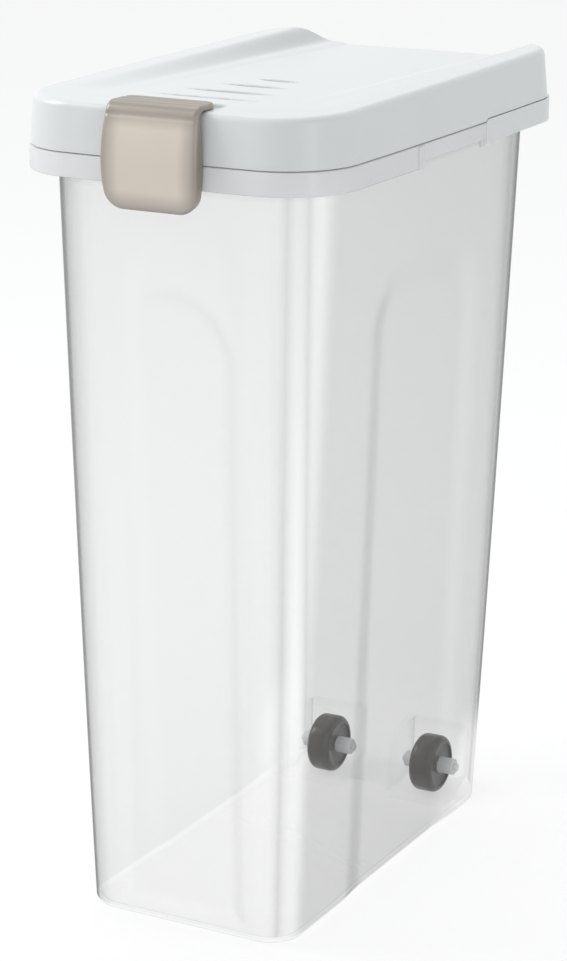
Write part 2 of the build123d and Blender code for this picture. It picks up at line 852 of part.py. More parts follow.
# The latch: a curved plate with turned-back edges, a hooked lip and two knuckles
with BuildPart() as front_latch:
    add(latch_blank(0, 0))
    add(latch_lip_plan(), mode=Mode.INTERSECT)
    add(latch_inside(), mode=Mode.SUBTRACT)
    for groove_y in lip_groove_ys:
        with BuildSketch(Plane.YZ.offset(-latch_width)):
            with Locations((groove_y, latch_lip_top)):
                Rectangle(lip_groove_width, 2 * lip_groove_depth)
        extrude(amount=2 * latch_width, mode=Mode.SUBTRACT)
    catch_y = latch_lip_rear_y - catch_setback - catch_thickness / 2
    catch_z = latch_lip_top - latch_wall - catch_drop / 2
    with BuildSketch(Plane.YZ.offset(-catch_length / 2)):
        with Locations((catch_y, catch_z)):
            Rectangle(catch_thickness, catch_drop + catch_bite)
    extrude(amount=catch_length)
    add(latch_knuckles())
    with BuildSketch(Plane.YZ.offset(-latch_width)):
        with Locations((latch_pivot_y, latch_pivot_z)):
            Circle(latch_pin_radius + latch_clearance)
    extrude(amount=2 * latch_width, mode=Mode.SUBTRACT)
front_latch.part.label = "front_latch"
export_step(front_latch.part, "parts/front_latch.step")

# The pin that the latch turns on
with BuildPart() as latch_pin:
    pin_start = -latch_pin_half_length
    add(round_pin(latch_pivot_y, latch_pivot_z, latch_pin_radius, pin_start, 2 * latch_pin_half_length))
latch_pin.part.label = "latch_pin"
export_step(latch_pin.part, "parts/latch_pin.step")

# The pieces that come in pairs: hinge pins, axles and wheels
for side, side_name in ((-1, "left"), (1, "right")):
    hinge_pin_length = ear_pitch + hinge_ear_thickness + 2 * hinge_pin_stand_out
    hinge_pin_middle = side * (hinge_inner_x - hinge_pin_stand_out + hinge_pin_length / 2)
    with BuildPart() as hinge_pin:
        pin_start = hinge_pin_middle - hinge_pin_length / 2
        add(round_pin(hinge_y, hinge_z, hinge_pin_radius, pin_start, hinge_pin_length))
    hinge_pin.part.label = f"hinge_pin_{side_name}"
    export_step(hinge_pin.part, f"parts/hinge_pin_{side_name}.step")

    wheel_x = side * wheel_offset_x
    with BuildPart() as axle:
        half_length = well_half_width - axle_end_gap
        add(round_pin(wheel_centre_y, wheel_centre_z, axle_radius, wheel_x - half_length, 2 * half_length))
    axle.part.label = f"axle_{side_name}"
    export_step(axle.part, f"parts/axle_{side_name}.step")

    # A solid roller with bevelled shoulders and a long hub sleeve
    bore_radius = axle_radius + axle_running_clearance
    tread_radius = wheel_diameter / 2
    with BuildPart() as wheel:
        with BuildSketch(Plane.XY.offset(wheel_centre_z)) as section:
            with Locations((wheel_x, wheel_centre_y + (tread_radius + bore_radius) / 2)):
                Rectangle(wheel_width, tread_radius - bore_radius)
            chamfer(section.vertices().group_by(Axis.Y)[-1], length=wheel_shoulder)
            with Locations((wheel_x, wheel_centre_y + (hub_radius + bore_radius) / 2)):
                Rectangle(2 * hub_half_length, hub_radius - bore_radius)
        revolve(axis=Axis((0, wheel_centre_y, wheel_centre_z), (1, 0, 0)))
    wheel.part.label = f"wheel_{side_name}"
    export_step(wheel.part, f"parts/wheel_{side_name}.step")
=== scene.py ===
import math

import bmesh
import bpy
import numpy as np
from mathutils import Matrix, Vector, kdtree


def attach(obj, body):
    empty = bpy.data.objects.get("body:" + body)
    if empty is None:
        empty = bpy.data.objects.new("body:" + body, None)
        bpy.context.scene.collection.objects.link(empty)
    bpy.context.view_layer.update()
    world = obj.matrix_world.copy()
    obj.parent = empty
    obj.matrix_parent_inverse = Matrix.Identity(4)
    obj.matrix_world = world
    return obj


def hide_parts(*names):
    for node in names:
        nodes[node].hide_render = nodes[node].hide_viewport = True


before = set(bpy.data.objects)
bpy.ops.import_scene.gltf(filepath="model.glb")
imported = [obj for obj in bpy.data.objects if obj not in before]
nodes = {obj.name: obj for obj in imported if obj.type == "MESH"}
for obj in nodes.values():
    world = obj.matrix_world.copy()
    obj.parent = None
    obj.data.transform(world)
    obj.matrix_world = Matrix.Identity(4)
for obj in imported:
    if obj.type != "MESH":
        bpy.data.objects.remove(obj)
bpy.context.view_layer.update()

# Camera: a long lens, to the right of the front and a little above the lid.
# It stands where the product photo was taken from, and looks at the middle of the bin.
camera_azimuth = math.radians(28.586)
camera_elevation = math.radians(16.430)
camera_distance = 2.1846
camera_target = Vector((-0.0375, 0.0435, 0.2723))
camera_data = bpy.data.cameras.new("camera")
camera_data.lens = 107.07
camera_data.sensor_width = 36.0
camera = bpy.data.objects.new("camera", camera_data)
bpy.context.scene.collection.objects.link(camera)
away = Vector((
    math.sin(camera_azimuth) * math.cos(camera_elevation),
    -math.cos(camera_azimuth) * math.cos(camera_elevation),
    math.sin(camera_elevation),
))
camera.location = camera_target + camera_distance * away
camera.rotation_euler = away.to_track_quat("Z", "Y").to_euler()
bpy.context.scene.camera = camera
bpy.context.scene.view_settings.view_transform = "Standard"
# The walls, wells and pads lie behind one another, so a view goes through many clear layers.
bpy.context.scene.cycles.transparent_max_bounces = 32

# Studio: a pale room that fills the shadows, a broad lamp at the front left, a softer one overhead
# and a narrow one at the right. The room is white to the camera, in gloss and through plastic.


def add_lamp(name, place, aim, size_x, size_y, power):
    """A rectangular soft lamp that points at a place."""
    lamp_data = bpy.data.lights.new(name, "AREA")
    lamp_data.shape = "RECTANGLE"
    lamp_data.size = size_x
    lamp_data.size_y = size_y
    lamp_data.energy = power
    lamp = bpy.data.objects.new(name, lamp_data)
    bpy.context.scene.collection.objects.link(lamp)
    lamp.location = place
    lamp.rotation_euler = (Vector(place) - Vector(aim)).to_track_quat("Z", "Y").to_euler()


world = bpy.data.worlds.new("studio")
world.use_nodes = True
world_nodes = world.node_tree.nodes
world_links = world.node_tree.links
world_nodes.clear()
fill_light = world_nodes.new("ShaderNodeBackground")
fill_light.inputs["Color"].default_value = (0.97, 0.985, 1.0, 1.0)
fill_light.inputs["Strength"].default_value = 0.64
white_room = world_nodes.new("ShaderNodeBackground")
white_room.inputs["Color"].default_value = (1.0, 1.0, 1.0, 1.0)
white_room.inputs["Strength"].default_value = 1.0
ray_kind = world_nodes.new("ShaderNodeLightPath")
seen_or_mirrored = world_nodes.new("ShaderNodeMath")
seen_or_mirrored.operation = "MAXIMUM"
world_links.new(ray_kind.outputs["Is Camera Ray"], seen_or_mirrored.inputs[0])
world_links.new(ray_kind.outputs["Is Glossy Ray"], seen_or_mirrored.inputs[1])
shows_white = world_nodes.new("ShaderNodeMath")
shows_white.operation = "MAXIMUM"
world_links.new(seen_or_mirrored.outputs[0], shows_white.inputs[0])
world_links.new(ray_kind.outputs["Is Transmission Ray"], shows_white.inputs[1])
room_mix = world_nodes.new("ShaderNodeMixShader")
world_links.new(shows_white.outputs[0], room_mix.inputs[0])
world_links.new(fill_light.outputs[0], room_mix.inputs[1])
world_links.new(white_room.outputs[0], room_mix.inputs[2])
world_output = world_nodes.new("ShaderNodeOutputWorld")
world_links.new(room_mix.outputs[0], world_output.inputs["Surface"])
bpy.context.scene.world = world

# Each lamp has a place, a width, a height and a power, and points at the middle of the bin.
middle = (0.0, 0.0, 0.3)
add_lamp("key_lamp", (-1.9, -0.8, 1.9), middle, 1.0, 1.2, 27.0)
add_lamp("top_lamp", (-0.6, 0.6, 2.3), middle, 1.2, 1.2, 6.0)
add_lamp("side_lamp", (2.3, -1.2, 0.8), middle, 0.35, 1.7, 5.0)

# Floor: a pale matt studio floor, white where the camera sees it, that keeps the soft shadow.
# It is only the stage and isn't part of the bin.
floor_mesh = bpy.data.meshes.new("floor")
floor_half = 14.0
floor_mesh.from_pydata(
    [(-floor_half, -floor_half, 0), (floor_half, -floor_half, 0),
     (floor_half, floor_half, 0), (-floor_half, floor_half, 0)],
    [], [(0, 1, 2, 3)],
)
floor = bpy.data.objects.new("floor", floor_mesh)
bpy.context.scene.collection.objects.link(floor)
floor_material = bpy.data.materials.new("studio_floor")
floor_material.use_nodes = True
floor_nodes = floor_material.node_tree.nodes
floor_links = floor_material.node_tree.links
floor_nodes.clear()
floor_paint = floor_nodes.new("ShaderNodeBsdfDiffuse")
floor_paint.inputs["Color"].default_value = (0.86, 0.86, 0.86, 1.0)
floor_white = floor_nodes.new("ShaderNodeEmission")
floor_white.inputs["Strength"].default_value = 0.76
floor_tone = floor_nodes.new("ShaderNodeBsdfDiffuse")
floor_tone.inputs["Color"].default_value = (0.27, 0.27, 0.27, 1.0)
floor_sum = floor_nodes.new("ShaderNodeAddShader")
floor_links.new(floor_tone.outputs[0], floor_sum.inputs[0])
floor_links.new(floor_white.outputs[0], floor_sum.inputs[1])
floor_ray = floor_nodes.new("ShaderNodeLightPath")
floor_mix = floor_nodes.new("ShaderNodeMixShader")
floor_seen = floor_nodes.new("ShaderNodeMath")
floor_seen.operation = "MAXIMUM"
floor_links.new(floor_ray.outputs["Is Camera Ray"], floor_seen.inputs[0])
floor_links.new(floor_ray.outputs["Is Glossy Ray"], floor_seen.inputs[1])
floor_links.new(floor_seen.outputs[0], floor_mix.inputs[0])
floor_links.new(floor_paint.outputs[0], floor_mix.inputs[1])
floor_links.new(floor_sum.outputs[0], floor_mix.inputs[2])
floor_output = floor_nodes.new("ShaderNodeOutputMaterial")
floor_links.new(floor_mix.outputs[0], floor_output.inputs["Surface"])
floor_mesh.materials.append(floor_material)

# Tub: one thin-walled moulding in milky clear polypropylene, narrower at the floor than at the
# mouth. Its corners widen from floor to mouth, and soft-edged panels are pressed into the front
# and the two long sides. All the sizes from here on are in millimetres.
mouth_height = 560.0
tub_wall = 2.4


def rounded_outline(width, length, corner, bow, middle_y):
    """Points round a rounded rectangle with slightly bowed sides, always in the same number."""
    half_x = width / 2
    half_y = length / 2
    across = np.linspace(-1, 1, 49)[:-1]
    along = np.linspace(-1, 1, 59)[:-1]
    turn = np.linspace(0, math.pi / 2, 13)[:-1]
    flat_x = half_x - corner
    flat_y = half_y - corner
    xs = np.concatenate((
        flat_x * across, flat_x + corner * np.sin(turn),
        np.full(len(along), half_x), flat_x + corner * np.cos(turn),
        -flat_x * across, -flat_x - corner * np.sin(turn),
        np.full(len(along), -half_x), -flat_x - corner * np.cos(turn),
    ))
    ys = np.concatenate((
        np.full(len(across), -half_y), -flat_y - corner * np.cos(turn),
        flat_y * along, flat_y + corner * np.sin(turn),
        np.full(len(across), half_y), flat_y + corner * np.cos(turn),
        -flat_y * along, -flat_y - corner * np.sin(turn),
    ))
    bowed_x = xs - xs / half_x * bow * (ys / half_y) ** 2
    bowed_y = ys - ys / half_y * bow * (xs / half_x) ** 2
    return bowed_x, bowed_y + middle_y


def tub_row(height, inset):
    """A loop round the tub at a height, moved in from its outer face."""
    share = height / mouth_height
    width = 168.6 + 44.4 * share - 2 * inset
    length = 331.0 + 48.5 * share - 2 * inset
    corner = 26.0 + 23.0 * share ** 1.3 - inset
    return rounded_outline(width, length, corner, 0.0, -11.6 * (1 - share))


def loop_at(x, y, z):
    """Points of one loop as rows of x, y and z, at one height or at a height for each point."""
    return np.stack((x, y, np.broadcast_to(z, x.shape)), axis=1)


def soft_step(value):
    """A smooth rise from 0 to 1."""
    value = np.clip(value, 0, 1)
    return value * value * (3 - 2 * value)


panel_depth = 2.0
arch_radius = 52.0
arch_middle_z = 420.0
side_corner = 48.0
side_middle_y = 2.5


def press_panels(x, y, z):
    """The front arch and the two side panels, pressed into the wall with soft edges."""
    arch = np.where(
        z < arch_middle_z,
        np.maximum(np.abs(x) - arch_radius, 9 - z),
        np.hypot(x, z - arch_middle_z) - arch_radius,
    )
    over_y = np.abs(y - side_middle_y) - 90.5
    over_z = z - 474.0
    side = np.where(
        (over_y > -side_corner) & (over_z > -side_corner),
        np.hypot(over_y + side_corner, over_z + side_corner) - side_corner,
        np.maximum(over_y, over_z),
    )
    on_front = y < -150
    on_side = (np.abs(x) > 70) & (np.abs(y - side_middle_y) < 100)
    y = y + np.where(on_front, panel_depth * soft_step((2.0 - arch) / 15), 0)
    x = x - np.where(on_side, np.sign(x) * panel_depth * soft_step((2.0 - side) / 34), 0)
    return x, y


def tub_loop(height, inset, draw_in=0.0):
    """One finished row of the tub's skin."""
    x, y = tub_row(height, inset + draw_in)
    x, y = press_panels(x, y, np.full(len(x), height))
    return loop_at(x, y, height)


def closed_piece(name, points, faces):
    """A new piece from points in millimetres, with doubles merged and faces turned outwards."""
    mesh = bpy.data.meshes.new(name)
    mesh.from_pydata((points * 0.001).tolist(), [], faces)
    shape = bmesh.new()
    shape.from_mesh(mesh)
    bmesh.ops.remove_doubles(shape, verts=shape.verts, dist=1e-7)
    bmesh.ops.recalc_face_normals(shape, faces=shape.faces)
    shape.to_mesh(mesh)
    shape.free()
    piece = bpy.data.objects.new(name, mesh)
    bpy.context.scene.collection.objects.link(piece)
    return piece


def skin_over(name, rows, ends="filled"):
    """A closed skin over loops of points; the first and last loops are filled or joined up."""
    count = len(rows[0])
    faces = []
    pairs = [(k, k + 1) for k in range(len(rows) - 1)]
    if ends == "joined":
        pairs.append((len(rows) - 1, 0))
    for low, high in pairs:
        for i in range(count):
            j = (i + 1) % count
            faces.append((
                low * count + i, low * count + j, high * count + j, high * count + i,
            ))
    if ends == "filled":
        faces.append(tuple(reversed(range(count))))
        faces.append(tuple((len(rows) - 1) * count + i for i in range(count)))
    return closed_piece(name, np.concatenate(rows), faces)


def bar(profile, start, end, edge=0.0):
    """A bar along X whose cross-section is given as (y, z) points, with slightly rounded edges."""
    rows = [np.array([(x, y, z) for y, z in profile], dtype=float) for x in (start, end)]
    piece = skin_over("bar", rows)
    if edge > 0:
        shape = bmesh.new()
        shape.from_mesh(piece.data)
        sharp = [e for e in shape.edges if e.calc_face_angle(0) > 0.6]
        bmesh.ops.bevel(
            shape, geom=sharp, offset=edge * 0.001, segments=2, affect="EDGES", clamp_overlap=True,
        )
        shape.to_mesh(piece.data)
        shape.free()
    return piece


def disc(middle_y, middle_z, radius, steps=40):
    """The (y, z) points of a circle."""
    angles = [2 * math.pi * k / steps for k in range(steps)]
    return [(middle_y + radius * math.cos(a), middle_z + radius * math.sin(a)) for a in angles]


def combine(piece, tool, how):
    """Joins a tool to a piece, cuts it away or keeps what both share, and removes the tool."""
    step = piece.modifiers.new("combine", "BOOLEAN")
    step.solver = "MANIFOLD"
    step.operation = how
    step.object = tool
    seen = piece.evaluated_get(bpy.context.evaluated_depsgraph_get())
    result = bpy.data.meshes.new_from_object(seen)
    piece.modifiers.clear()
    piece.data = result
    bpy.data.objects.remove(tool)
    assert len(result.polygons) > 0, f"{piece.name} is empty after {how}"


def on_both_sides(piece, profile, start, end, how, edge=0.0):
    """Combines a piece with a bar and with its mirror image."""
    combine(piece, bar(profile, start, end, edge), how)
    combine(piece, bar(profile, -end, -start, edge), how)


def finish_skin(piece, name, material, angle=32.0):
    """Names a piece, smooths its shading except at real edges and gives it its material."""
    piece.name = name
    piece.data.name = name
    shape = bmesh.new()
    shape.from_mesh(piece.data)
    bmesh.ops.remove_doubles(shape, verts=shape.verts, dist=2e-6)
    bmesh.ops.dissolve_degenerate(shape, edges=shape.edges, dist=1e-6)
    shape.to_mesh(piece.data)
    shape.free()
    piece.data.shade_smooth()
    piece.data.set_sharp_from_angle(angle=math.radians(angle))
    piece.data.materials.clear()
    piece.data.materials.append(material)


base_edge = 5.0
floor_thickness = 3.0


def tub_skin_rows(inset, lowest, start, steps, top, top_inset):
    """Loops from the rounded lower edge of the tub's outer or inner skin up to its mouth."""
    rows = []
    for angle in np.radians(np.linspace(90, 0, 7)):
        lift = base_edge * (1 - math.sin(angle))
        rows.append(tub_loop(lowest + lift, inset, base_edge * (1 - math.cos(angle))))
    for height in np.linspace(start, mouth_height, steps):
        rows.append(tub_loop(height, inset))
    rows.append(tub_loop(567.4, inset))
    rows.append(tub_loop(top, top_inset))
    return rows


skin_rows = tub_skin_rows(0, 0, 8, 170, 568.0, 0.6)
inner_rows = tub_skin_rows(tub_wall, floor_thickness, 12, 90, 568.5, tub_wall - 1.1)
tub = skin_over("tub", skin_rows)
cavity = skin_over("cavity", inner_rows)

wheel_y = 137.0
wheel_z = 24.0
well_near_x = 22.0
well_far_x = 70.0
kick_start = 128.0
kick_slope = 0.42


def well_profile(grow):
    """The side view of a wheel well: an arch over the wheel, open below and to the rear."""
    radius = 29.0 + grow
    points = [(wheel_y - radius, -10.0)]
    for angle in np.linspace(math.pi, math.pi / 2, 17):
        points.append((wheel_y + radius * math.cos(angle), wheel_z + radius * math.sin(angle)))
    points.extend([(200.0, wheel_z + radius), (200.0, -10.0)])
    return points


def kick_profile(raised):
    """The side view of the space under the rising rear of the floor."""
    return [
        (kick_start - 20, raised - 20 * kick_slope),
        (kick_start + 100, raised + 100 * kick_slope),
        (kick_start + 100, -60.0),
        (kick_start - 20, -60.0),
    ]


combine(tub, bar(kick_profile(0), -150, 150), "DIFFERENCE")
combine(cavity, bar(kick_profile(floor_thickness), -150, 150), "DIFFERENCE")
on_both_sides(tub, well_profile(0), well_near_x, well_far_x, "DIFFERENCE")
on_both_sides(
    cavity, well_profile(tub_wall), well_near_x - tub_wall, well_far_x + tub_wall, "DIFFERENCE",
)

# Rim of the tub: a flange round the mouth and a turned-down band, moulded in one with the tub.
# It is set back at the rear for the collar, cut short over the hand grips, and has ribs beside
# the grips and four ears for the latch's pin.
latch_pin_y = -204.0
latch_pin_z = 537.0
ear_radius = 3.8


def rim_loop(profile_point):
    """One row of the rim, at an inset from the band's outer face or in the tub's wall."""
    follows, inset, height = profile_point
    if follows == "band":
        x, y = rounded_outline(250.3 - 2 * inset, 405.0 - 2 * inset, 50.0 - inset, 2.8, 0.0)
    else:
        x, y = tub_row(height, inset)
    return loop_at(x, y, height)


def rim_ring(face, bottom):
    """The flange and band, with rounded edges, whose outer face is moved in by an amount."""
    section = [
        ("band", face, bottom + 0.6), ("band", face, 557.9),
        ("band", face + 0.45, 558.95), ("band", face + 1.5, 559.4),
        ("wall", tub_wall / 2, 559.4), ("wall", tub_wall / 2, 556.9),
        ("band", face + 3.6, 556.9), ("band", face + 2.5, 555.8),
        ("band", face + 2.5, bottom + 0.5), ("band", face + 2.0, bottom),
        ("band", face + 0.6, bottom),
    ]
    return skin_over("rim", [rim_loop(point) for point in section], ends="joined")


def side_box(front_y, rear_y, low_z, high_z):
    """The side view of a box, for cutting or for keeping a stretch of the rim."""
    return [(front_y, low_z), (rear_y, low_z), (rear_y, high_z), (front_y, high_z)]


# The front stretch stands out, and the rear stretch is set back by the collar's thickness.
rim_foot = 543.0
rim = rim_ring(0.0, rim_foot)
combine(rim, bar(side_box(-300, 47.0, 500, 600), -200, 200), "INTERSECT")
rear_rim = rim_ring(2.5, 546.6)
combine(rear_rim, bar(side_box(44.5, 300, 500, 600), -200, 200), "INTERSECT")
combine(rim, rear_rim, "UNION")
# The hand grips are gaps in the band with a rib at each end.
grip_front = -54.0
grip_rear = 44.0
combine(rim, bar(side_box(grip_front, grip_rear, 520, 548), -200, 200), "DIFFERENCE")
front_rib = side_box(grip_front - 9.0, grip_front, rim_foot, 558.8)
rear_rib = side_box(grip_rear - 5.0, grip_rear, rim_foot, 558.8)
on_both_sides(rim, front_rib, 122.85, 125.75, "UNION", edge=0.45)
on_both_sides(rim, rear_rib, 122.85, 124.75, "UNION", edge=0.4)
# Two pairs of ears hang below the flange on the two sides of the latch's knuckles.
for ear_start in (14.0, 25.0):
    ear_profile = [(-201.5, 550.0), (-201.5, rim_foot)]
    for angle in np.linspace(math.radians(160), math.radians(350), 22):
        ear_profile.append((
            latch_pin_y + ear_radius * math.cos(angle), latch_pin_z + ear_radius * math.sin(angle),
        ))
    ear_profile.extend([(-198.7, rim_foot), (-198.7, 550.0)])
    on_both_sides(rim, ear_profile, ear_start, ear_start + 4.0, "UNION")
combine(rim, bar(disc(latch_pin_y, latch_pin_z, 2.02), -60, 60), "DIFFERENCE")
combine(tub, rim, "UNION")
combine(tub, cavity, "DIFFERENCE")

# Axle pads of the tub: a pad on each cheek of the wells, with a keyhole that the axle snaps into.
# They are moulded in one with the tub, which gets its clear plastic here.
pad_radius = 7.5
pad_thickness = 3.0
pad_profile = [(wheel_y - pad_radius, 52.0)]
for angle in np.linspace(math.pi, 2 * math.pi, 21):
    pad_profile.append((
        wheel_y + pad_radius * math.cos(angle), wheel_z + pad_radius * math.sin(angle),
    ))
pad_profile.append((wheel_y + pad_radius, 52.0))
key_slot = side_box(134.4, 139.6, 4.0, 24.0)
for pad_start in (21.5, 67.5):
    for pad_side in (-1, 1):
        near, far = sorted((pad_side * pad_start, pad_side * (pad_start + pad_thickness)))
        pad = bar(pad_profile, near, far)
        combine(pad, bar(disc(wheel_y, wheel_z, 3.02), near - 1, far + 1), "DIFFERENCE")
        combine(pad, bar(key_slot, near - 1, far + 1), "DIFFERENCE")
        combine(tub, pad, "UNION")


def stored_number(tree, name):
    """The output of a node that reads a number kept on a piece's vertices."""
    node = tree.nodes.new("ShaderNodeAttribute")
    node.attribute_name = name
    return node.outputs["Fac"]


def vertex_vectors(piece, kind):
    """The places or the normals of a piece's vertices, one row each."""
    values = np.empty(len(piece.data.vertices) * 3)
    piece.data.vertices.foreach_get(kind, values)
    return values.reshape(-1, 3)


def store_on_vertices(piece, name, values):
    """Keeps one number for each vertex of a piece, for its material to read."""
    layer = piece.data.attributes.new(name, "FLOAT", "POINT")
    layer.data.foreach_set("value", values.astype(np.float32))


# A thin milky veil over clear plastic that darkens where it is seen at a slant.
tub_material = bpy.data.materials.new("clear_polypropylene")
tub_material.use_nodes = True
tub_tree = tub_material.node_tree
tub_veil = tub_tree.nodes["Principled BSDF"]
tub_place = tub_tree.nodes.new("ShaderNodeTexCoord")
tub_cloud = tub_tree.nodes.new("ShaderNodeTexNoise")
tub_cloud.inputs["Scale"].default_value = 9.0
tub_cloud.inputs["Detail"].default_value = 3.0
tub_tree.links.new(tub_place.outputs["Object"], tub_cloud.inputs["Vector"])
tub_milk = tub_tree.nodes.new("ShaderNodeValToRGB")
tub_milk.color_ramp.elements[0].position = 0.35
tub_milk.color_ramp.elements[0].color = (0.90, 0.90, 0.905, 1.0)
tub_milk.color_ramp.elements[1].position = 0.65
tub_milk.color_ramp.elements[1].color = (0.94, 0.94, 0.945, 1.0)
tub_tree.links.new(tub_cloud.outputs["Fac"], tub_milk.inputs["Fac"])
tub_tree.links.new(tub_milk.outputs["Color"], tub_veil.inputs["Base Color"])
tub_ripple = tub_tree.nodes.new("ShaderNodeBump")
tub_ripple.inputs["Strength"].default_value = 0.05
tub_ripple.inputs["Distance"].default_value = 0.0006
tub_tree.links.new(tub_cloud.outputs["Fac"], tub_ripple.inputs["Height"])
tub_tree.links.new(tub_ripple.outputs["Normal"], tub_veil.inputs["Normal"])
tub_veil.inputs["Roughness"].default_value = 0.25
tub_clear = tub_tree.nodes.new("ShaderNodeBsdfTransparent")
tub_edge = tub_tree.nodes.new("ShaderNodeLayerWeight")
tub_edge.inputs["Blend"].default_value = 0.5
tub_tint = tub_tree.nodes.new("ShaderNodeValToRGB")
tub_tint.color_ramp.elements[0].position = 0.0
tub_tint.color_ramp.elements[0].color = (0.995, 0.995, 0.995, 1.0)
tub_tint.color_ramp.elements[1].position = 1.0
tub_tint.color_ramp.elements[1].color = (0.02, 0.022, 0.022, 1.0)
for tint_place, tint_level in (
    (0.17, 0.985), (0.25, 0.95), (0.36, 0.85), (0.45, 0.78), (0.62, 0.69), (0.76, 0.3),
):
    tint_step = tub_tint.color_ramp.elements.new(tint_place)
    tint_step.color = (tint_level, tint_level, tint_level, 1.0)
tub_tree.links.new(tub_edge.outputs["Facing"], tub_tint.inputs["Fac"])
tub_painted_shade = tub_tree.nodes.new("ShaderNodeMix")
tub_painted_shade.data_type = "RGBA"
tub_painted_shade.blend_type = "MULTIPLY"
tub_painted_shade.inputs[0].default_value = 1.0
tub_thin = tub_tree.nodes.new("ShaderNodeMix")
tub_thin.data_type = "RGBA"
tub_thin.inputs[6].default_value = (1.0, 1.0, 1.0, 1.0)
# The far walls, seen from within, take less of the tint than the near ones.
tub_side = tub_tree.nodes.new("ShaderNodeNewGeometry")
tub_far = tub_tree.nodes.new("ShaderNodeMath")
tub_far.operation = "MULTIPLY_ADD"
tub_far.inputs[1].default_value = -0.65
tub_far.inputs[2].default_value = 1.0
tub_tree.links.new(tub_side.outputs["Backfacing"], tub_far.inputs[0])
tub_strength = tub_tree.nodes.new("ShaderNodeMath")
tub_strength.operation = "MULTIPLY"
tub_tree.links.new(stored_number(tub_tree, "outer_tint_and_corner_highlight"), tub_strength.inputs[0])
tub_tree.links.new(tub_far.outputs["Value"], tub_strength.inputs[1])
tub_tree.links.new(tub_strength.outputs["Value"], tub_thin.inputs[0])
tub_tree.links.new(tub_tint.outputs["Color"], tub_thin.inputs[7])
tub_tree.links.new(tub_thin.outputs[2], tub_painted_shade.inputs[6])
# The clear colour is multiplied by the painted corner shade stored on the vertices.
tub_tree.links.new(stored_number(tub_tree, "painted_corner_shade"), tub_painted_shade.inputs[7])
tub_tree.links.new(tub_painted_shade.outputs[2], tub_clear.inputs["Color"])
tub_mix = tub_tree.nodes.new("ShaderNodeMixShader")
tub_tree.links.new(stored_number(tub_tree, "milk"), tub_mix.inputs[0])
tub_tree.links.new(tub_clear.outputs[0], tub_mix.inputs[1])
tub_tree.links.new(tub_veil.outputs[0], tub_mix.inputs[2])
tub_tree.links.new(tub_mix.outputs[0], tub_tree.nodes["Material Output"].inputs["Surface"])
finish_skin(tub, "tub_shell", tub_material)

# The thick rim looks milkier than the walls, the part round the wheels clearer, and the tint lies
# in the outer skin alone. Each corner also gets a painted dark stripe and a painted highlight
# stripe. A vertex belongs to the skin whose points are nearest to it.
spots = vertex_vectors(tub, "co") * 1000
heights = spots[:, 2]
leans = vertex_vectors(tub, "normal")
distances = []
for rows in (skin_rows, inner_rows):
    points = np.concatenate(rows)
    tree = kdtree.KDTree(len(points))
    for index, point in enumerate(points):
        tree.insert(point, index)
    tree.balance()
    distances.append(np.array([tree.find(spot)[2] for spot in spots]))
from_outer, from_inner = distances
outward = from_outer <= from_inner
upright = np.abs(leans[:, 2]) < 0.2
in_corner = upright & outward & (heights > 6) & (heights < 542)
turned = np.degrees(np.arctan2(np.abs(leans[:, 0]), np.abs(leans[:, 1])))
zone_z = 26.0
zone_radius = 52.0
from_wheel = np.hypot(spots[:, 1] - wheel_y, heights - zone_z)
near_wheels = np.exp(-(from_wheel / zone_radius) ** 4)
milk = np.where(outward, 0.1, 0.0) * (1 - 0.85 * near_wheels)
milk = milk + 0.75 * soft_step((heights - 540) / 4)
milk = np.where(heights < 4, 0.02, milk)
outer_tint_and_corner_highlight = np.where(outward | (heights > 541), 1.0, 0.0) * (1 - 0.8 * near_wheels)
outer_tint_and_corner_highlight = np.where((heights < 6) & ~upright, 0.15, outer_tint_and_corner_highlight)
in_well = (from_wheel < 66) & (from_outer > 1.5)
outer_tint_and_corner_highlight = np.where(in_well, 0.05, outer_tint_and_corner_highlight)
# Painted highlight: a bright vertical stripe round each corner, about 60 degrees from the flat
# wall, takes less of the tint.
outer_tint_and_corner_highlight = outer_tint_and_corner_highlight * (1 - 0.7 * in_corner * np.exp(-((turned - 60) / 11) ** 2))
# Painted shade: a dark vertical stripe round each corner, about 38 degrees from the flat wall.
painted_corner_shade = 1 - 0.22 * in_corner * np.exp(-((turned - 38) / 7) ** 2)
store_on_vertices(tub, "milk", milk)
store_on_vertices(tub, "painted_corner_shade", painted_corner_shade)
store_on_vertices(tub, "outer_tint_and_corner_highlight", outer_tint_and_corner_highlight)
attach(tub, "tub")
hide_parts("bin_tub")

# Wheels: two solid rollers with round shoulders and dished sides, in dark warm grey plastic.
# Each has a long hub sleeve and turns on a plain moulded axle that is snapped into the tub's pads.


